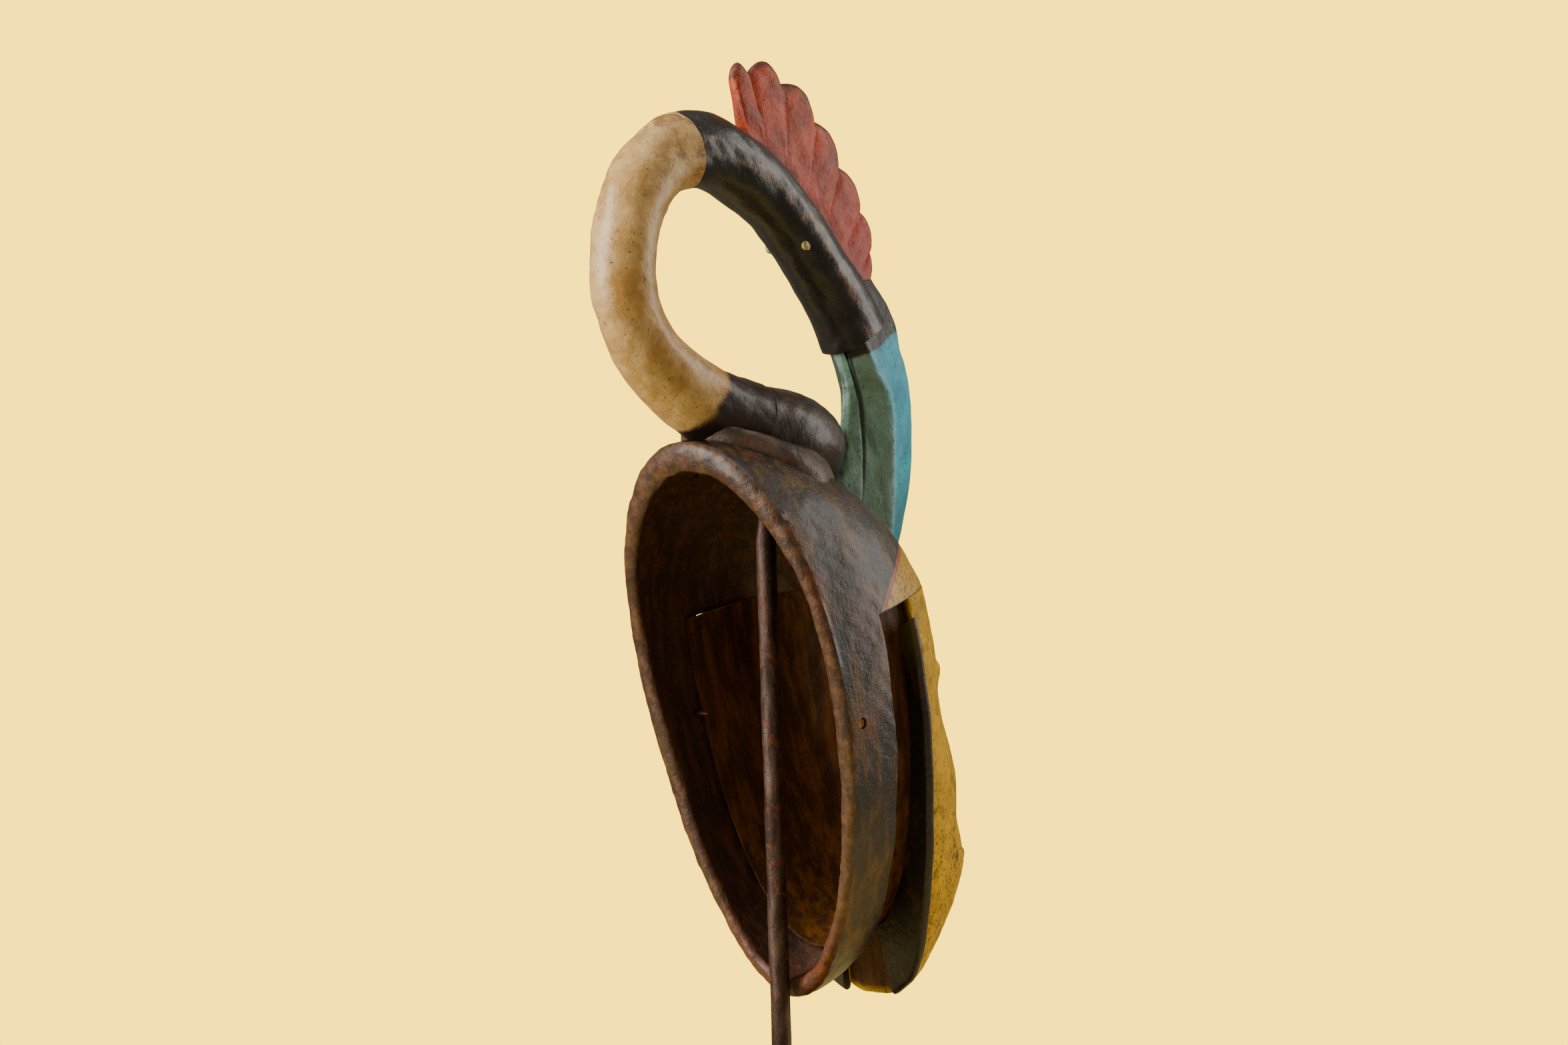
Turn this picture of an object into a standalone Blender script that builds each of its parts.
"""A carved and painted face mask with a long-necked bird on its crown, hung on an iron display stand.

Metres, +Z up. The mask looks towards -Y, and its hollow back faces +Y. The stand's rod runs up the Z axis from a
steel base plate, passes behind the mask's chin, and its peg holds the mask up from inside the crown.

The mask is drawn upright in a frame of its own: x is lateral, y = 0 is the plane of the back rim and the face is at
negative y, z = 0 is the rim's lowest point. The empty "mask_frame" then leans that frame back on the rod.
"""

import math

import bmesh
import bpy
from mathutils import Matrix, Vector

# ---- fits ----
GAP = 0.0003  # between two carved faces that meet
FIT = 0.0004  # radial room round a peg, pin or tenon

# ---- stand ----
BASE_SIDE = 0.160
BASE_THICK = 0.012
BASE_CHAMFER = 0.0015
FELT_THICK = 0.0025
FELT_INSET = 0.004
ROD_RADIUS = 0.005
PEG_RADIUS = 0.0033  # the rod's drawn-down top
PEG_LENGTH = 0.034
PEG_TAPER = 0.012
PEG_IN_CROWN = 0.008  # how far the peg goes up into the crown
STUD_RADIUS = 0.004  # the rod's lower end, through the plate
WASHER_RADIUS = 0.0085
WASHER_THICK = 0.0016
NUT_ACROSS_FLATS = 0.013
NUT_THICK = 0.005
NUT_RECESS_RADIUS = 0.0105
NUT_RECESS_DEPTH = 0.0085

# ---- how the mask hangs ----
MASK_LEAN = math.radians(10)  # crown leans back
CHIN_HEIGHT = 0.095  # the rim's lowest point above the floor
CHIN_FORWARD = 0.008  # that point is in front of the rod's axis

# ---- hood: the hollow back of the mask, with the crown ----
RIM_HALF_WIDTH = 0.0705
RIM_HEIGHT = 0.287
RIM_EGG = 0.17  # how much wider the outline is above its middle
CROWN_OVERHANG = 0.017  # the rim sweeps back over the wearer's head by this at the top
OVERHANG_FROM = 0.060  # and starts to sweep at this height
HOOD_REACH = 0.106  # where the crown's dome would close, in front of the rim
HOOD_SIDE_DEPTH = 0.033
HOOD_WALL = 0.010
CROWN_WALL = 0.015
RIM_ROUND = 0.0035

# ---- joint between hood and face: level at the sides, rising to the front ----
CREASE_HEIGHT = 0.190
CREASE_SLOPE = 0.07


# ---- face ----
FACE_HALF_WIDTH = 0.0635
JAW_FULLNESS = 0.72
CHIN_DROP = 0.015  # chin below the rim's lowest point
CHEEK_DEPTH = 0.060  # the cheek's rear edge
FACE_SQUARENESS = 1.9
FACE_WALL = 0.010
SPIGOT_LAP = 0.008  # the face's back edge inside the hood
JAW_FORWARD = 0.016  # the jaw is deeper than the forehead by this
MUZZLE = 0.014  # and the block round the mouth stands out of it
EYE_SPACING = 0.029
EYE_HEIGHT = 0.136  # half way up the head
BROW_HEIGHT = 0.154
NOSE_FOOT = 0.0695  # half way from brow to chin
MOUTH_HEIGHT = 0.0415  # a third of the way from the nose to the chin
EYE_HALF_LENGTH = 0.0155
EYE_HALF_OPENING = 0.0021

# ---- side flanges ----
FLANGE_THICK = 0.0055
FLANGE_OUT = 0.0065  # beyond the cheek
FLANGE_TOP = 0.180

# ---- bird ----
WING_THICK = 0.008
COMB_THICK = 0.0085
COMB_EDGE_BEVEL = 0.0016
COMB_SLOT = 0.005  # how deep the comb is let into the head
MOUTH_GAP = 0.0012
BIRD_EYE_RADIUS = 0.0030
BIRD_EYE_LENGTH = 0.009
BIRD_EYE_PROUD = 0.0009
BIRD_EYE_SKIN = 0.0135  # half the head's width at the eyes
BIRD_EYE_Y = -0.0800
BIRD_EYE_Z = 0.3700

# ---- pegs and nails ----
DOWEL_RADIUS = 0.003
DOWEL_LENGTH = 0.018
MANDIBLE_DOWEL_RADIUS = 0.002
BODY_DOWEL_SPACING = 0.013
BODY_DOWEL_DEPTH = 0.057
COMB_PIN_RADIUS = 0.0013
COMB_PIN_LENGTH = 0.012
SIDE_PEG_RADIUS = 0.0024
NAIL_RADIUS = 0.0013
NAIL_HEAD_RADIUS = 0.0032
NAIL_HEAD_THICK = 0.0011
NAIL_INSIDE = 0.009  # the nail's point shows inside the hood
NAIL_HEIGHT = 0.141
NAIL_DEPTH = 0.0215
SIDE_PEG_DEPTH = 0.009
SIDE_PEG_LENGTH = 0.0068
HANG_HOLE_RADIUS = 0.0026

# ---- mesh fineness ----
ROUND_HOOD = 56
ROUND_FACE = 56
ROUND_SMALL = 16

HOOD_DEPTHS = [RIM_ROUND * 0.9, 0.012, 0.022, HOOD_SIDE_DEPTH, 0.045, 0.060, 0.075, 0.088, 0.098]
RIM_MIDDLE = RIM_HEIGHT / 2
STAND_TOP = FELT_THICK + BASE_THICK


def clear_scene():
    for thing in list(bpy.data.objects):
        bpy.data.objects.remove(thing)


# ---------------------------------------------------------------- materials


def painted(name, colour, roughness, metallic=0.0):
    material = bpy.data.materials.new(name)
    material.use_nodes = True
    shader = material.node_tree.nodes["Principled BSDF"]
    shader.inputs["Base Color"].default_value = (*colour, 1.0)
    shader.inputs["Roughness"].default_value = roughness
    shader.inputs["Metallic"].default_value = metallic
    return material


# ---------------------------------------------------------------- mesh helpers


def new_object(name, mesh, material, parent=None):
    thing = bpy.data.objects.new(name, mesh)
    bpy.context.scene.collection.objects.link(thing)
    mesh.materials.append(material)
    mesh.shade_smooth()
    mesh.set_sharp_from_angle(angle=math.radians(35))
    thing.parent = parent
    return thing


def mesh_of(points, faces, name):
    """A mesh with its faces turned outwards."""
    mesh = bpy.data.meshes.new(name)
    mesh.from_pydata([tuple(p) for p in points], [], faces)
    work = bmesh.new()
    work.from_mesh(mesh)
    bmesh.ops.recalc_face_normals(work, faces=work.faces)
    work.to_mesh(mesh)
    work.free()
    return mesh


def lofted(rings, name, closed=False):
    """A skin over rings of equal point counts. Open ends are closed by a fan to the ring's centre."""
    count = len(rings[0])
    points = [p for ring in rings for p in ring]
    faces = []
    spans = len(rings) if closed else len(rings) - 1
    for i in range(spans):
        a, b = i * count, ((i + 1) % len(rings)) * count
        for j in range(count):
            k = (j + 1) % count
            faces.append((a + j, a + k, b + k, b + j))
    if not closed:
        for ring, first in ((rings[0], 0), (rings[-1], (len(rings) - 1) * count)):
            middle = sum((Vector(p) for p in ring), Vector()) / count
            points.append(middle)
            for j in range(count):
                faces.append((first + j, first + (j + 1) % count, len(points) - 1))
    return mesh_of(points, faces, name)


def turned(profile, sides, name):
    """A solid turned about Z from (radius, height) pairs that start and end on or near the axis."""
    rings = []
    for radius, height in profile:
        rings.append(
            [
                Vector((radius * math.cos(a), radius * math.sin(a), height))
                for a in (math.tau * i / sides for i in range(sides))
            ]
        )
    return lofted(rings, name)


def rod_between(start, end, radius, sides, name):
    """A round bar from start to end."""
    along = (end - start).normalized()
    turn = along.to_track_quat("Z", "Y").to_matrix().to_4x4()
    mesh = turned([(radius, 0), (radius, (end - start).length)], sides, name)
    mesh.transform(Matrix.Translation(start) @ turn)
    return mesh


def box_between(low, high, name):
    (x0, y0, z0), (x1, y1, z1) = low, high
    points = [(x, y, z) for x in (x0, x1) for y in (y0, y1) for z in (z0, z1)]
    faces = [(0, 1, 3, 2), (4, 6, 7, 5), (0, 4, 5, 1), (2, 3, 7, 6), (0, 2, 6, 4), (1, 5, 7, 3)]
    return mesh_of(points, faces, name)


def prism(outline, low, high, axis, name):
    """A flat outline of (u, v) pairs, run from low to high along the axis: u, v are y, z for X, and x, z for Y."""
    place = {"X": lambda u, v, w: (w, u, v), "Y": lambda u, v, w: (u, w, v)}[axis]
    count = len(outline)
    points = [place(u, v, w) for w in (low, high) for u, v in outline]
    faces = [tuple(range(count)), tuple(range(count, 2 * count))]
    for i in range(count):
        k = (i + 1) % count
        faces.append((i, k, count + k, count + i))
    return mesh_of(points, faces, name)


def cut(target, mesh, operation="DIFFERENCE"):
    """Adds a Boolean of a hidden helper to the target."""
    helper = bpy.data.objects.new("cutter_" + mesh.name, mesh)
    bpy.context.scene.collection.objects.link(helper)
    helper.parent = target.parent
    helper.hide_render = True
    helper.display_type = "WIRE"
    boolean = target.modifiers.new(mesh.name, "BOOLEAN")
    boolean.operation = operation
    boolean.solver = "EXACT"
    boolean.object = helper


def smooth_path(points, steps):
    """A Catmull-Rom curve through rows of numbers, steps samples to each span."""
    rows = [points[0], *points, points[-1]]
    out = []
    for i in range(1, len(rows) - 2):
        a, b, c, d = rows[i - 1 : i + 3]
        last = i == len(rows) - 3
        for s in range(steps + (1 if last else 0)):
            t = s / steps
            out.append(
                tuple(
                    0.5 * (2 * q + (r - p) * t + (2 * p - 5 * q + 4 * r - w) * t * t + (3 * q - p - 3 * r + w) * t**3)
                    for p, q, r, w in zip(a, b, c, d)
                )
            )
    return out


def step(value, low, high):
    """0 below low, 1 above high, smooth between them."""
    t = min(1.0, max(0.0, (value - low) / (high - low)))
    return t * t * (3 - 2 * t)


# ---------------------------------------------------------------- the mask's frame


def mask_matrix():
    lean = Matrix.Rotation(-MASK_LEAN, 4, "X")
    return Matrix.Translation((0, -CHIN_FORWARD, CHIN_HEIGHT)) @ lean


def in_mask(x, y, z):
    """A world point in the mask's own frame."""
    return mask_matrix().inverted() @ Vector((x, y, z))


# ---------------------------------------------------------------- hood


def rim_point(angle):
    """The rim's outline at an angle from the crown, as (x, z) from its middle."""
    return RIM_HALF_WIDTH * math.sin(angle) * (1 + RIM_EGG * math.cos(angle)), RIM_MIDDLE * math.cos(angle)


def dome_power(angle):
    """The dome is round over the crown and squarer at the temples."""
    return 2.0 + math.sin(angle) ** 2


def dome_depth(share, angle, reach):
    """How deep the dome is where its outline has shrunk to this share."""
    power = dome_power(angle)
    return reach * max(0.0, 1 - share**power) ** (1 / power)


def dome_share(depth, angle, reach):
    power = dome_power(angle)
    return max(0.0, 1 - (depth / reach) ** power) ** (1 / power)


def hood_wall(angle):
    """Thicker over the crown, where the rod's peg goes in."""
    return HOOD_WALL + (CROWN_WALL - HOOD_WALL) * step(math.cos(angle), 0.5, 0.95)


def overhang(angle, depth):
    """How far the hood's back sweeps out behind its plane: most at the rim, none at the front."""
    height = RIM_MIDDLE + rim_point(angle)[1]
    rise = max(0.0, (height - OVERHANG_FROM) / (RIM_HEIGHT - OVERHANG_FROM))
    return CROWN_OVERHANG * rise**2 * max(0.0, 1 - depth / HOOD_REACH) ** 1.5


def hood_point(angle, depth, share):
    x, z = rim_point(angle)
    return Vector((x * share, overhang(angle, max(depth, 0.0)) - depth, RIM_MIDDLE + z * share))


def inner_share(angle, depth):
    x, z = rim_point(angle)
    share = dome_share(depth, angle, HOOD_REACH - CROWN_WALL) - hood_wall(angle) / math.hypot(x, z)
    return max(share, 0.08)


def hood_mesh():
    """The whole dome, as a shell: the front of its sides is cut off afterwards."""
    inner_depths = [0.084, 0.074, 0.06, 0.045, HOOD_SIDE_DEPTH, HOOD_SIDE_DEPTH - SPIGOT_LAP, 0.013, RIM_ROUND * 0.9]
    angles = [math.tau * i / ROUND_HOOD for i in range(ROUND_HOOD)]
    rings = [[hood_point(a, depth, dome_share(depth, a, HOOD_REACH)) for a in angles] for depth in HOOD_DEPTHS]
    rings.append([Vector((p.x * 0.9, p.y, RIM_MIDDLE + (p.z - RIM_MIDDLE) * 0.8)) for p in rings[-1]])
    rings += [[hood_point(a, depth, inner_share(a, depth)) for a in angles] for depth in inner_depths]
    for back, inset in ((0.25, 0.7), (0.0, 0.5), (0.25, 0.3)):
        ring = []
        for angle in angles:
            wall = hood_wall(angle) / math.hypot(*rim_point(angle))
            ring.append(hood_point(angle, RIM_ROUND * back, 1 - wall * inset))
        rings.append(ring)
    return lofted(rings, "hood_shell", closed=True)


def below_crease(gap, start, name):
    """All that lies under the crease plane and in front of start, as a wedge: what the face takes from the hood."""
    reach, side, low = 0.25, 0.15, -0.10
    crease = [(-start, CREASE_HEIGHT), (-reach, CREASE_HEIGHT + CREASE_SLOPE * (reach - start))]
    outline = [
        (crease[0][0] + gap, low),
        (crease[0][0] + gap, crease[0][1] + gap),
        (crease[1][0], crease[1][1] + gap),
        (crease[1][0], low),
    ]
    return prism(outline, -side, side, "X", name)


def above_crease(gap, start, name):
    """All that lies over the crease plane, for the face."""
    reach, side, high = 0.25, 0.15, 0.40
    rise = CREASE_SLOPE * (reach - start)
    outline = [
        (0.05, CREASE_HEIGHT - CREASE_SLOPE * (start + 0.05) - gap),
        (0.05, high),
        (-reach, high),
        (-reach, CREASE_HEIGHT + rise - gap),
    ]
    return prism(outline, -side, side, "X", name)


def head_form(extra, name):
    """The solid dome of the hood grown by extra, to fit the bird to."""
    rings = []
    for depth in [-0.03, 0.0, *HOOD_DEPTHS, 0.104]:
        ring = []
        for i in range(ROUND_HOOD):
            angle = math.tau * i / ROUND_HOOD
            share = dome_share(max(depth, 0), angle, HOOD_REACH) + extra / math.hypot(*rim_point(angle))
            ring.append(hood_point(angle, depth, share))
        rings.append(ring)
    return lofted(rings, name)


# ---------------------------------------------------------------- face


def bump(value, middle, spread):
    return math.exp(-(((value - middle) / spread) ** 2))


def face_relief(x, z):
    """How far the carved features stand out of, or sink into, the face's plain dome at a point."""
    side = abs(x)
    fall = BROW_HEIGHT - z
    nose_line = step(z, NOSE_FOOT - 0.005, NOSE_FOOT + 0.005) * (1 - step(z, BROW_HEIGHT - 0.018, BROW_HEIGHT + 0.004))
    nose_width = 0.0062 + 0.0075 * step(fall, 0.030, 0.085)
    nose = (0.006 + 0.012 * step(fall, 0.015, 0.080)) * nose_line * bump(side, 0.0, nose_width)
    brow = 0.0042 * bump(z, BROW_HEIGHT - 9 * (side - 0.026) ** 2, 0.0055) * (1 - step(side, 0.048, 0.058))
    socket = -0.0068 * bump(z, EYE_HEIGHT + 0.001, 0.015) * bump(side, EYE_SPACING, 0.021)
    lid = 0.0078 * bump(z, EYE_HEIGHT, 0.0085) * bump(side, EYE_SPACING, 0.0145)
    upper_lip = bump(z, MOUTH_HEIGHT + 0.0045, 0.0050)
    lower_lip = bump(z, MOUTH_HEIGHT - 0.0050, 0.0056)
    lips = 0.0070 * (upper_lip + lower_lip) * bump(side, 0.0, 0.0165)
    chin = 0.0060 * bump(z, 0.006, 0.013) * bump(side, 0.0, 0.020)
    cheek = 0.0040 * bump(z, 0.092, 0.024) * bump(side, 0.041, 0.015)
    muzzle = MUZZLE * bump(z, MOUTH_HEIGHT, 0.026) * math.exp(-((side / 0.038) ** 4))
    return nose + brow + socket + lid + lips + chin + cheek + muzzle


def face_outline(angle):
    """The cheek's outline: fuller at the jaw than the rim's, and dropping to a chin below it."""
    low = math.cos(angle) < 0
    tall = RIM_MIDDLE + (CHIN_DROP if low else -0.006)
    full = abs(math.sin(angle)) ** (JAW_FULLNESS if low else 1.0)
    width = FACE_HALF_WIDTH * math.copysign(full, math.sin(angle)) * (1 + RIM_EGG * math.cos(angle))
    return width, tall * math.cos(angle)


def face_reach(z):
    return HOOD_REACH + JAW_FORWARD * step(0.150 - z, 0.0, 0.110)


def face_front(share, angle, inset=0.0):
    """A point of the face's dome. inset gives the hollow side, which has no features."""
    ox, oz = face_outline(angle)
    grow = 1 - inset / FACE_HALF_WIDTH
    x, z = ox * share * grow, RIM_MIDDLE + oz * share * grow
    edge = CHEEK_DEPTH + 0.0015
    rise = (1 - share**FACE_SQUARENESS) ** (1 / FACE_SQUARENESS)
    depth = edge + (face_reach(z) - edge) * rise - inset
    if not inset:
        depth += face_relief(x, z) * (1 - step(share, 0.86, 0.99))
    return Vector((x, -depth, z))


def spigot_point(angle, depth, inset):
    """The face's neck, which reaches back through the groove and laps inside the hood."""
    share = inner_share(angle, HOOD_SIDE_DEPTH + overhang(angle, HOOD_SIDE_DEPTH))
    x, z = (c * share for c in rim_point(angle))
    keep = 1 - (FIT + inset) / math.hypot(x, z)
    return Vector((x * keep, -depth, RIM_MIDDLE + z * keep))


def face_mesh():
    shares = [1.0, 0.97, 0.92, 0.85, 0.77, 0.68, 0.59, 0.50, 0.41, 0.32, 0.23, 0.14, 0.06]
    angles = [math.tau * i / ROUND_FACE for i in range(ROUND_FACE)]
    lap = HOOD_SIDE_DEPTH - SPIGOT_LAP
    edge = []
    for angle in angles:
        x, z = face_outline(angle)
        edge.append(Vector((x * 0.97, -CHEEK_DEPTH, RIM_MIDDLE + z * 0.97)))
    outer = [[spigot_point(a, lap, 0.0) for a in angles], [spigot_point(a, CHEEK_DEPTH, 0.0) for a in angles], edge]
    outer += [[face_front(s, a) for a in angles] for s in shares]
    inner = [[face_front(s, a, FACE_WALL) for a in angles] for s in (0.06, 0.2, 0.35, 0.5, 0.65, 0.76)]
    inner += [[spigot_point(a, CHEEK_DEPTH, FACE_WALL * 0.8) for a in angles]]
    inner += [[spigot_point(a, lap, FACE_WALL * 0.8) for a in angles]]
    return bowl(outer, inner, "face_shell")


def bowl(outer, inner, name):
    """A shell from an outer run of rings, edge to pole, and an inner run, pole to edge."""
    count = len(outer[0])
    rings = outer + inner
    points = [p for ring in rings for p in ring]
    faces = []
    for i in range(len(rings)):
        if i == len(outer) - 1:
            continue
        a, b = i * count, ((i + 1) % len(rings)) * count
        for j in range(count):
            k = (j + 1) % count
            faces.append((a + j, a + k, b + k, b + j))
    for row in (len(outer) - 1, len(outer)):
        ring = rings[row]
        points.append(sum((Vector(p) for p in ring), Vector()) / count)
        for j in range(count):
            faces.append((row * count + j, row * count + (j + 1) % count, len(points) - 1))
    return mesh_of(points, faces, name)


def eye_slit(side):
    """A leaf-shaped slot right through the face."""
    outline = []
    for i in range(12):
        a = math.tau * i / 12
        outline.append(
            (
                side * EYE_SPACING + EYE_HALF_LENGTH * math.cos(a),
                EYE_HEIGHT - 0.0012 * math.cos(a) ** 2 + EYE_HALF_OPENING * math.sin(a),
            )
        )
    return prism(outline, -0.16, -0.06, "Y", f"eye_slit_{side:+d}")


# ---------------------------------------------------------------- side flanges


def flange_mesh(side, name):
    """A curved board behind the cheek, from temple to jaw, standing out of the groove."""
    high = math.acos((FLANGE_TOP + 0.010 - RIM_MIDDLE) / face_outline(0.0)[1])
    stations = [a for a in (math.tau * i / ROUND_FACE for i in range(ROUND_FACE)) if high < a < math.radians(168)]
    rings = []
    for i, angle in enumerate(stations):
        outline = Vector(face_outline(angle))
        root = spigot_point(angle, 0.0, 0.0)
        outward = outline.normalized()
        inner = Vector((root.x, root.z - RIM_MIDDLE)) + outward * (FIT + GAP)
        outer = outline + outward * FLANGE_OUT * (1 - 0.8 * step(i / len(stations), 0.8, 1.0))
        front = GAP - CHEEK_DEPTH
        back = front + FLANGE_THICK
        corners = [
            (inner, front),
            (outer, front),
            (outer + outward * 0.0008, (front + back) / 2),
            (outer - outward * 0.0010, back),
            (inner, back),
        ]
        rings.append([Vector((side * p.x, y, RIM_MIDDLE + p.y)) for p, y in corners])
    return lofted(rings, name)


# ---------------------------------------------------------------- bird

# The bird's spine in the mask's plane of symmetry: y, z, half thickness in that plane, half width across it.
BIRD_SPINE = [
    (-0.0815, 0.2560, 0.010, 0.011),
    (-0.0740, 0.2660, 0.018, 0.021),
    (-0.0600, 0.2740, 0.0235, 0.0265),
    (-0.0440, 0.2805, 0.0235, 0.0275),
    (-0.0280, 0.2885, 0.0215, 0.0245),
    (-0.0100, 0.2990, 0.0195, 0.0205),
    (0.0080, 0.3125, 0.0180, 0.0180),
    (0.0235, 0.3285, 0.0172, 0.0170),
    (0.0330, 0.3460, 0.0165, 0.0160),
    (0.0358, 0.3630, 0.0162, 0.0158),
    (0.0335, 0.3810, 0.0160, 0.0160),
    (0.0260, 0.3985, 0.0165, 0.0165),
    (0.0140, 0.4140, 0.0175, 0.0170),
    (-0.0010, 0.4235, 0.0185, 0.0175),
    (-0.0150, 0.4265, 0.0190, 0.0180),
    (-0.0300, 0.4250, 0.0190, 0.0182),
    (-0.0450, 0.4175, 0.0182, 0.0178),
    (-0.0605, 0.4060, 0.0172, 0.0170),
    (-0.0740, 0.3925, 0.0165, 0.0165),
    (-0.0870, 0.3750, 0.0162, 0.0165),
    (-0.0985, 0.3560, 0.0163, 0.0165),
    (-0.1090, 0.3370, 0.0172, 0.0165),
    (-0.1165, 0.3180, 0.0188, 0.0165),
]
BODY_END = 4  # the stations where one painted piece gives way to the next
NECK_END = 14
HEAD_END = 22
# The two halves of the beak, down from the head, in the same terms.
UPPER_BEAK_SPINE = [
    (-0.1235, 0.3170, 0.0120, 0.0155),
    (-0.1275, 0.3000, 0.0125, 0.0150),
    (-0.1285, 0.2800, 0.0125, 0.0140),
    (-0.1265, 0.2600, 0.0122, 0.0130),
    (-0.1220, 0.2400, 0.0115, 0.0118),
    (-0.1155, 0.2205, 0.0098, 0.0100),
    (-0.1085, 0.2085, 0.0068, 0.0075),
    (-0.1035, 0.2005, 0.0030, 0.0040),
]
LOWER_BEAK_SPINE = [
    (-0.1045, 0.3170, 0.0067, 0.0118),
    (-0.1085, 0.3000, 0.0067, 0.0112),
    (-0.1085, 0.2800, 0.0073, 0.0106),
    (-0.1037, 0.2620, 0.0084, 0.0102),
    (-0.0953, 0.2460, 0.0091, 0.0100),
    (-0.0850, 0.2320, 0.0080, 0.0090),
]
BEAK_KEEL = 0.25  # how much the upper beak narrows towards its front


def spine_rings(spine, first, last, sides, grow=0.0, trim=(0.0, 0.0), keel=0.0):
    """Ellipses square to a spine, from one station to another, two to a station.

    grow fattens them, trim draws in the two ends, keel narrows the side that faces forward.
    """
    path = smooth_path(spine, 2)
    rings = []
    for i in range(2 * first, 2 * last + 1):
        y, z, deep, wide = path[i]
        before, after = path[max(i - 1, 0)], path[min(i + 1, len(path) - 1)]
        along = Vector((after[0] - before[0], after[1] - before[1])).normalized()
        across = Vector((-along.y, along.x))
        shift = 0.0
        if i == 2 * first:
            shift = trim[0]
        if i == 2 * last:
            shift = -trim[1]
        ring = []
        for j in range(sides):
            a = math.tau * j / sides
            n = math.cos(a) * (deep + grow)
            x = math.sin(a) * (wide + grow) * (1 - keel * math.cos(a))
            ring.append(Vector((x, y + across.x * n + along.x * shift, z + across.y * n + along.y * shift)))
        rings.append(ring)
    return rings


def bird_tube(first, last, name, **options):
    return lofted(spine_rings(BIRD_SPINE, first, last, 24, **options), name)


def beak_tube(spine, name, **options):
    return lofted(spine_rings(spine, 0, len(spine) - 1, ROUND_SMALL, **options), name)


# The wing plate's half width on the hood's rings, from the rim forward.
WING_PLAN = [
    (0.011, 0.008),
    (0.014, 0.016),
    (0.020, 0.024),
    (0.027, 0.033),
    (0.034, 0.040),
    (0.043, 0.042),
    (0.053, 0.036),
    (0.064, 0.026),
    (0.073, 0.017),
    (0.077, 0.008),
]


def crown_point(x, depth, rise):
    """A point over the hood's top, on the ring at some depth, raised by rise."""
    low, high = 0.0, math.radians(85)
    for _ in range(40):
        angle = (low + high) / 2
        if rim_point(angle)[0] * dome_share(depth, angle, HOOD_REACH) < abs(x):
            low = angle
        else:
            high = angle
    point = hood_point(low, depth, dome_share(depth, low, HOOD_REACH))
    return Vector((x, point.y, point.z + rise))


def wing_plate(extra, name):
    """The folded wings: a plate that follows the crown, with a squared outer edge. extra grows it all round."""
    plan = smooth_path(WING_PLAN, 2)
    rings = []
    across = 8
    for i, (depth, half) in enumerate(plan):
        shift = Vector((0, extra * (1 if i == 0 else -1 if i == len(plan) - 1 else 0), 0))
        xs = [(half + 1.5 * extra) * (2 * k / across - 1) for k in range(across + 1)]
        top = [crown_point(x, depth, WING_THICK + 1.5 * extra) + shift for x in xs]
        under = [crown_point(x, depth, -0.006) + shift for x in reversed(xs)]
        rings.append(top + under)
    return lofted(rings, name)


# The comb's outline beyond the head: notches between its lobes, then how far each lobe bulges.
COMB_NOTCHES = [
    (-0.0580, 0.4590),
    (-0.0690, 0.4585),
    (-0.0915, 0.4510),
    (-0.1110, 0.4300),
    (-0.1235, 0.4045),
    (-0.1345, 0.3800),
    (-0.1370, 0.3590),
    (-0.1280, 0.3400),
]
COMB_LOBES = [0.0062, 0.0090, 0.0075, 0.0060, 0.0050, 0.0042, 0.0030]


def comb_outline():
    """(y, z) points: lobes as arcs between the notches, then back under the head's skin."""
    points = []
    for (y0, z0), (y1, z1), out in zip(COMB_NOTCHES, COMB_NOTCHES[1:], COMB_LOBES):
        normal = Vector((z1 - z0, y0 - y1)).normalized()
        if normal.y < 0 and normal.x > 0:
            normal.negate()
        for s in range(5):
            t = s / 5
            swell = 4 * out * t * (1 - t)
            points.append((y0 + (y1 - y0) * t + normal.x * swell, z0 + (z1 - z0) * t + normal.y * swell))
    points.append(COMB_NOTCHES[-1])
    head = smooth_path(BIRD_SPINE, 2)[2 * NECK_END :]
    back = []
    for i in range(1, len(head) - 1):
        along = Vector((head[i + 1][0] - head[i - 1][0], head[i + 1][1] - head[i - 1][1])).normalized()
        across = Vector((along.y, -along.x)) * (head[i][2] - COMB_SLOT)
        if across.x > 0 and across.y < 0:
            across.negate()
        y, z = head[i][0] + across.x, head[i][1] + across.y
        if -0.126 < y < -0.0545:
            back.append((y, z))
    return points + back[::-1]


def comb_mesh(extra, name):
    """The comb as a slab. extra grows its two faces, for the slot."""
    half = COMB_THICK / 2 + extra
    outline = comb_outline()
    if extra:
        middle = Vector((-0.105, 0.40))
        outline = [tuple(Vector(p) + (Vector(p) - middle).normalized() * extra) for p in outline]
    return prism(outline, -half, half, "X", name)


# ---------------------------------------------------------------- build


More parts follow.
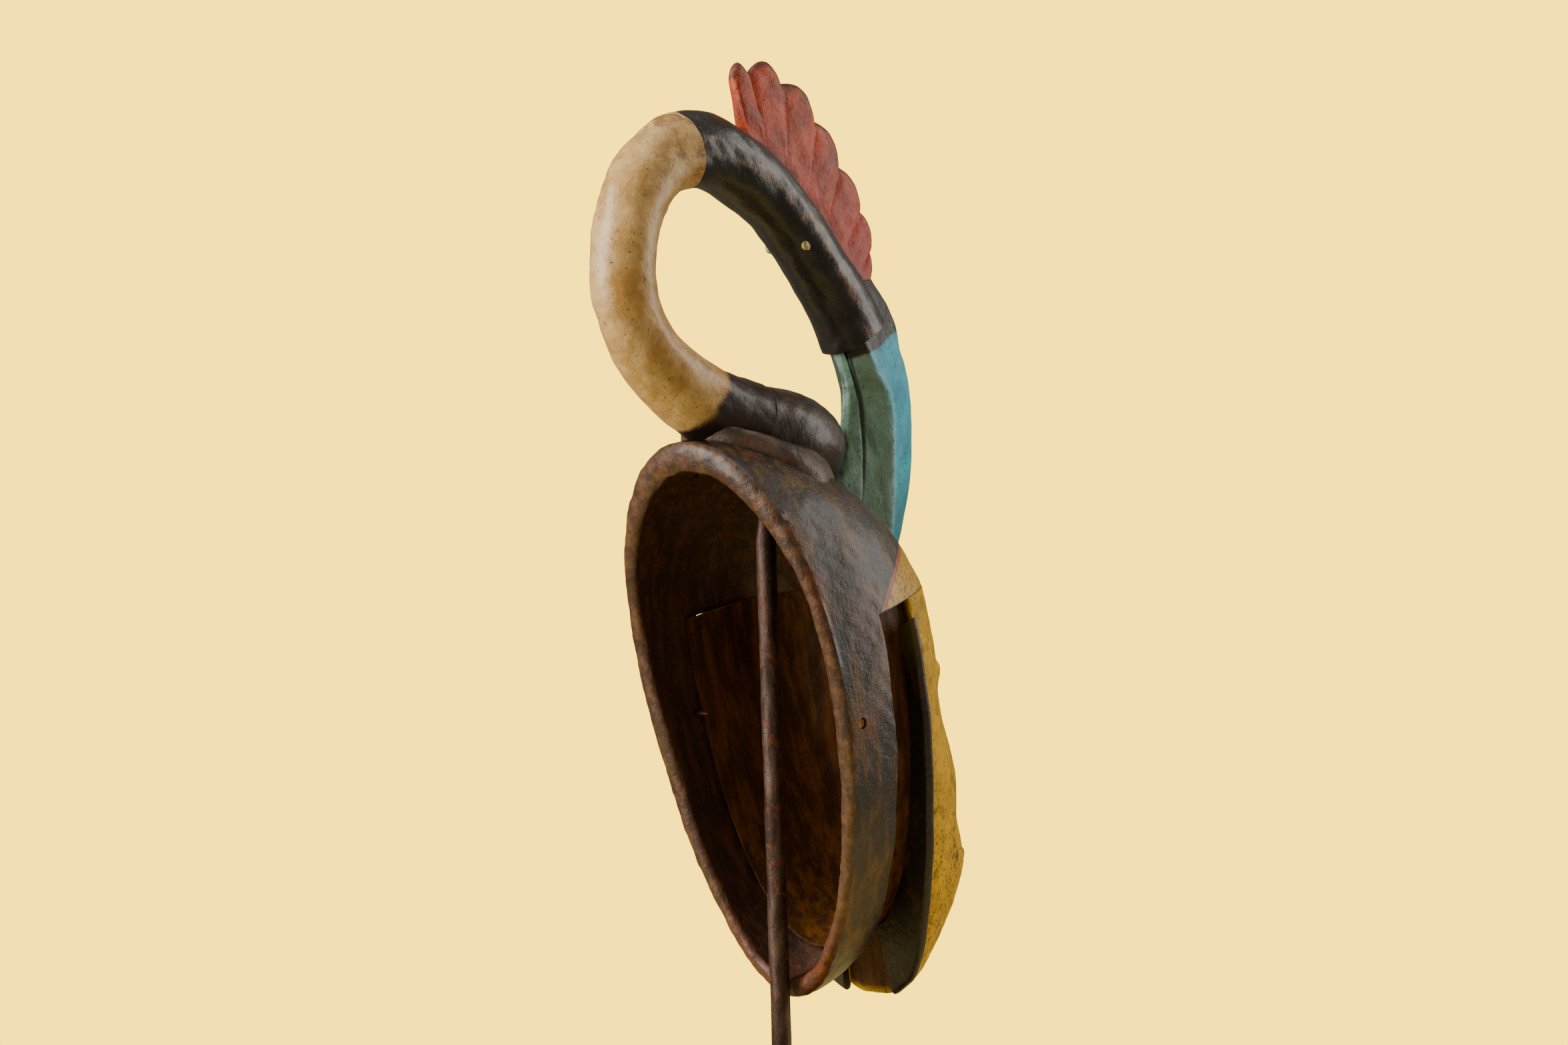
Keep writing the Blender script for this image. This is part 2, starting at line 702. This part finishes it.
def build_stand(steel, iron, felt):
    side = BASE_SIDE / 2
    pad = side - FELT_INSET
    new_object("felt_pad", box_between((-pad, -pad, 0), (pad, pad, FELT_THICK), "felt_pad"), felt)

    low = FELT_THICK + GAP
    plate = new_object("base_plate", box_between((-side, -side, low), (side, side, STAND_TOP), "base_plate"), steel)
    bevel = plate.modifiers.new("chamfer", "BEVEL")
    bevel.width = BASE_CHAMFER
    bevel.segments = 1
    hole = turned([(STUD_RADIUS + FIT, -0.01), (STUD_RADIUS + FIT, STAND_TOP + 0.01)], ROUND_SMALL, "stud_hole")
    recess = turned([(NUT_RECESS_RADIUS, -0.01), (NUT_RECESS_RADIUS, low + NUT_RECESS_DEPTH)], 24, "nut_recess")
    cut(plate, hole)
    cut(plate, recess)

    crown = peg_top()
    neck = crown - PEG_LENGTH
    stud_low = low + 0.0004
    profile = [
        (STUD_RADIUS, stud_low),
        (STUD_RADIUS, STAND_TOP + GAP),
        (ROD_RADIUS, STAND_TOP + GAP),
        (ROD_RADIUS, (STAND_TOP + neck) / 3),
        (ROD_RADIUS, 2 * (STAND_TOP + neck) / 3),
        (ROD_RADIUS, neck),
        (PEG_RADIUS, neck + PEG_TAPER),
        (PEG_RADIUS, crown - 0.0012),
        (PEG_RADIUS - 0.001, crown),
    ]
    new_object("rod", turned(profile, ROUND_SMALL, "rod"), iron)

    washer_top = low + NUT_RECESS_DEPTH - GAP
    washer_low = washer_top - WASHER_THICK
    ring = turned([(WASHER_RADIUS, washer_low), (WASHER_RADIUS, washer_top)], 24, "washer")
    washer = new_object("washer", ring, steel)
    bore = STUD_RADIUS + GAP
    cut(washer, turned([(bore, 0.0), (bore, 0.05)], ROUND_SMALL, "washer_bore"))
    nut_top = washer_low - GAP
    corner = NUT_ACROSS_FLATS / math.sqrt(3)
    nut = new_object("hex_nut", turned([(corner, nut_top - NUT_THICK), (corner, nut_top)], 6, "hex_nut"), steel)
    cut(nut, turned([(bore, 0.0), (bore, 0.05)], ROUND_SMALL, "nut_bore"))


def crown_roof():
    """World height of the crown's inner roof on the rod's axis."""
    for i in range(1, 1000):
        depth = HOOD_REACH * 0.8 * i / 1000
        roof = hood_point(0.0, depth, inner_share(0.0, depth))
        world = mask_matrix() @ roof
        if world.y < 0:
            return world.z
    return RIM_HEIGHT


def peg_top():
    return crown_roof() + PEG_IN_CROWN


def build_hood(frame, brown):
    hood = new_object("hood_shell", hood_mesh(), brown, frame)
    cut(hood, below_crease(0.0, HOOD_SIDE_DEPTH, "face_room"))
    top = peg_top() + GAP
    socket = rod_between(in_mask(0, 0, top - 0.05), in_mask(0, 0, top), PEG_RADIUS + FIT, ROUND_SMALL, "peg_socket")
    cut(hood, socket)
    hang = rod_between(Vector((0.015, -0.008, 0.22)), Vector((0.015, -0.008, 0.32)), HANG_HOLE_RADIUS, 12, "hang_hole")
    cut(hood, hang)
    cut(hood, side_rod(-0.06, -0.09, SIDE_PEG_DEPTH, SIDE_PEG_RADIUS + FIT, "side_peg_hole"))
    cut(hood, side_rod(0.05, 0.09, NAIL_DEPTH, NAIL_RADIUS + FIT, "nail_hole"))
    return hood


def side_rod(start, end, depth, radius, name, sides=12):
    """A round bar across the mask, at nail height, from one x to another."""
    return rod_between(Vector((start, -depth, NAIL_HEIGHT)), Vector((end, -depth, NAIL_HEIGHT)), radius, sides, name)


def hood_half_width(depth):
    """Half width of the hood's outside at nail height and some depth."""
    low, high = 0.0, math.pi
    for _ in range(40):
        angle = (low + high) / 2
        if RIM_MIDDLE + rim_point(angle)[1] * dome_share(depth, angle, HOOD_REACH) > NAIL_HEIGHT:
            low = angle
        else:
            high = angle
    return rim_point(low)[0] * dome_share(depth, low, HOOD_REACH)


def build_side_fixings(frame, wood, iron):
    """A wooden plug near the right rim, and a nail through the left wall whose point shows in the hollow."""
    skin = hood_half_width(SIDE_PEG_DEPTH)
    outer = -(skin - 0.0010)
    plug = side_rod(outer, outer + SIDE_PEG_LENGTH, SIDE_PEG_DEPTH, SIDE_PEG_RADIUS, "side_peg_right")
    new_object("side_peg_right", plug, wood, frame)
    skin = hood_half_width(NAIL_DEPTH)
    inside = skin - HOOD_WALL - NAIL_INSIDE
    head = skin + GAP + 0.0004
    profile = [
        (NAIL_HEAD_RADIUS * 0.7, -NAIL_HEAD_THICK),
        (NAIL_HEAD_RADIUS, -NAIL_HEAD_THICK * 0.3),
        (NAIL_HEAD_RADIUS, 0.0),
        (NAIL_RADIUS, 0.0),
        (NAIL_RADIUS, head - inside - 0.004),
        (NAIL_RADIUS * 0.25, head - inside),
    ]
    nail = turned(profile, 12, "side_nail_left")
    nail.transform(Matrix.Translation((head, -NAIL_DEPTH, NAIL_HEIGHT)) @ Matrix.Rotation(-math.pi / 2, 4, "Y"))
    new_object("side_nail_left", nail, iron, frame)


def build_face(frame, yellow):
    face = new_object("face_shell", face_mesh(), yellow, frame)
    cut(face, above_crease(GAP, HOOD_SIDE_DEPTH, "crown_room"))
    for side in (-1, 1):
        cut(face, eye_slit(side))
    return face


def build_flanges(frame, black):
    for side, name in ((1, "side_flange_left"), (-1, "side_flange_right")):
        flange = new_object(name, flange_mesh(side, name), black, frame)
        room = box_between((-0.12, -0.12, FLANGE_TOP), (0.12, 0.0, FLANGE_TOP + 0.1), name + "_top")
        cut(flange, room)


def build_bird(frame, dark, cream, black, blue, green, red, bone):
    body = new_object("bird_body", bird_tube(0, BODY_END, "bird_body", trim=(0, GAP)), dark, frame)
    cut(body, wing_plate(0.0, "wing_plate"), "UNION")
    cut(body, head_form(1.3 * GAP, "crown_seat"))
    neck = new_object("bird_neck", bird_tube(BODY_END, NECK_END, "bird_neck", trim=(0, GAP)), cream, frame)
    cut(neck, wing_plate(GAP, "wing_room"))
    cut(neck, head_form(1.3 * GAP, "neck_seat"))
    head = new_object("bird_head", bird_tube(NECK_END, HEAD_END, "bird_head", trim=(0, GAP)), black, frame)
    cut(head, comb_mesh(GAP, "comb_slot"))
    comb = new_object("comb", comb_mesh(0.0, "comb"), red, frame)
    bevel = comb.modifiers.new("edge", "BEVEL")
    bevel.width = COMB_EDGE_BEVEL
    bevel.segments = 1
    bevel.limit_method = "ANGLE"
    bevel.angle_limit = math.radians(60)

    tube = beak_tube(UPPER_BEAK_SPINE, "beak_upper", keel=BEAK_KEEL)
    upper = new_object("beak_upper", tube, blue, frame)
    lower = new_object("beak_lower", beak_tube(LOWER_BEAK_SPINE, "beak_lower"), green, frame)
    fit_beak(upper, lower)
    build_bird_eyes(frame, bone, head)
    return {"body": body, "neck": neck, "head": head, "comb": comb, "upper": upper, "lower": lower}


def spine_frame(station):
    """Point and direction of the bird's spine, in the plane x = 0, and the way out towards the comb."""
    path = smooth_path(BIRD_SPINE, 2)
    i = int(2 * station)
    before, after = path[max(i - 1, 0)], path[min(i + 1, len(path) - 1)]
    along = Vector((0, after[0] - before[0], after[1] - before[1])).normalized()
    return Vector((0, path[i][0], path[i][1])), along, Vector((0, -along.z, along.y)), path[i][2]


def add_pin(name, middle, along, radius, length, hosts, material, frame):
    """A hidden round pin, with a hole for it in each of the two pieces it joins."""
    half = along * (length / 2)
    room = along * (length / 2 + GAP)
    new_object(name, rod_between(middle - half, middle + half, radius, 12, name), material, frame)
    for i, host in enumerate(hosts):
        cut(host, rod_between(middle - room, middle + room, radius + GAP, 12, f"{name}_hole_{i}"))


def build_bird_pins(frame, wood, iron, hood, bird):
    """bird: the painted pieces by name."""
    body, neck, head = bird["body"], bird["neck"], bird["head"]
    for side, word in ((1, "left"), (-1, "right")):
        middle = crown_point(side * BODY_DOWEL_SPACING, BODY_DOWEL_DEPTH, 0.0)
        add_pin("body_dowel_" + word, middle, Vector((0, 0, 1)), DOWEL_RADIUS, DOWEL_LENGTH, (hood, body), wood, frame)
    for name, station, hosts in (("neck_dowel", BODY_END, (body, neck)), ("head_dowel", NECK_END, (neck, head))):
        middle, along, _, _ = spine_frame(station)
        add_pin(name, middle, along, DOWEL_RADIUS, DOWEL_LENGTH, hosts, wood, frame)
    end, along, out, _ = spine_frame(HEAD_END)
    for name, shift, radius, host in (
        ("beak_dowel_upper", 0.0065, DOWEL_RADIUS, bird["upper"]),
        ("beak_dowel_lower", -0.0115, MANDIBLE_DOWEL_RADIUS, bird["lower"]),
    ):
        middle = end + out * shift * (1 if out.y < 0 else -1)
        add_pin(name, middle, along, radius, DOWEL_LENGTH, (head, host), wood, frame)
    for word, station in (("rear", 17.5), ("front", 20)):
        middle, _, out, deep = spine_frame(station)
        out = out * (1 if out.z > 0 else -1)
        middle = middle + out * (deep - COMB_SLOT)
        add_pin("comb_pin_" + word, middle, out, COMB_PIN_RADIUS, COMB_PIN_LENGTH, (head, bird["comb"]), iron, frame)


def build_bird_eyes(frame, bone, head):
    """Two round pegs let into the sides of the head."""
    for side, word in ((1, "left"), (-1, "right")):
        skin = BIRD_EYE_SKIN
        start = Vector((side * (skin + BIRD_EYE_PROUD), BIRD_EYE_Y, BIRD_EYE_Z))
        profile = [
            (BIRD_EYE_RADIUS * 0.5, 0.0),
            (BIRD_EYE_RADIUS, 0.0007),
            (BIRD_EYE_RADIUS, BIRD_EYE_LENGTH),
        ]
        peg = turned(profile, 12, "bird_eye_" + word)
        peg.transform(Matrix.Translation(start) @ Matrix.Rotation(-side * math.pi / 2, 4, "Y"))
        new_object("bird_eye_" + word, peg, bone, frame)
        deep = start - Vector((side * (BIRD_EYE_LENGTH + GAP), 0, 0))
        hole = rod_between(deep, start + Vector((side * 0.02, 0, 0)), BIRD_EYE_RADIUS + GAP, 12, "eye_hole_" + word)
        cut(head, hole)


def fit_beak(upper, lower):
    """Both halves are cut square where they meet the head, and seated on the crown; the lower one gives way."""
    for half, tag in ((upper, "upper"), (lower, "lower")):
        cut(half, bird_tube(HEAD_END - 1, HEAD_END, "head_room_" + tag, grow=0.02))
        cut(half, head_form(1.3 * GAP, "beak_seat_" + tag))
    cut(lower, beak_tube(UPPER_BEAK_SPINE, "mouth", grow=MOUTH_GAP, keel=BEAK_KEEL))
    cut(lower, bird_tube(0, BODY_END, "lower_body_room", grow=GAP))
    cut(lower, wing_plate(GAP, "lower_wing_room"))


def main():
    clear_scene()
    steel = painted("blackened_steel", (0.035, 0.034, 0.033), 0.5, 0.8)
    iron = painted("rusty_iron", (0.06, 0.042, 0.034), 0.55, 0.6)
    felt = painted("felt", (0.03, 0.035, 0.03), 0.95)
    brown = painted("hood_brown", (0.10, 0.055, 0.022), 0.45)
    yellow = painted("face_yellow", (0.55, 0.40, 0.02), 0.5)
    black = painted("black_paint", (0.02, 0.018, 0.016), 0.4)
    dark = painted("body_brown", (0.055, 0.038, 0.028), 0.45)
    cream = painted("neck_cream", (0.66, 0.50, 0.31), 0.45)
    blue = painted("beak_blue", (0.14, 0.47, 0.55), 0.45)
    green = painted("beak_green", (0.24, 0.40, 0.37), 0.5)
    red = painted("comb_red", (0.52, 0.15, 0.11), 0.5)
    bone = painted("bone", (0.70, 0.62, 0.45), 0.4)
    wood = painted("bare_wood", (0.42, 0.27, 0.14), 0.7)

    frame = bpy.data.objects.new("mask_frame", None)
    bpy.context.scene.collection.objects.link(frame)
    frame.matrix_world = mask_matrix()

    build_stand(steel, iron, felt)
    hood = build_hood(frame, brown)
    build_side_fixings(frame, wood, iron)
    build_face(frame, yellow)
    build_flanges(frame, black)
    bird = build_bird(frame, dark, cream, black, blue, green, red, bone)
    build_bird_pins(frame, wood, iron, hood, bird)


main()
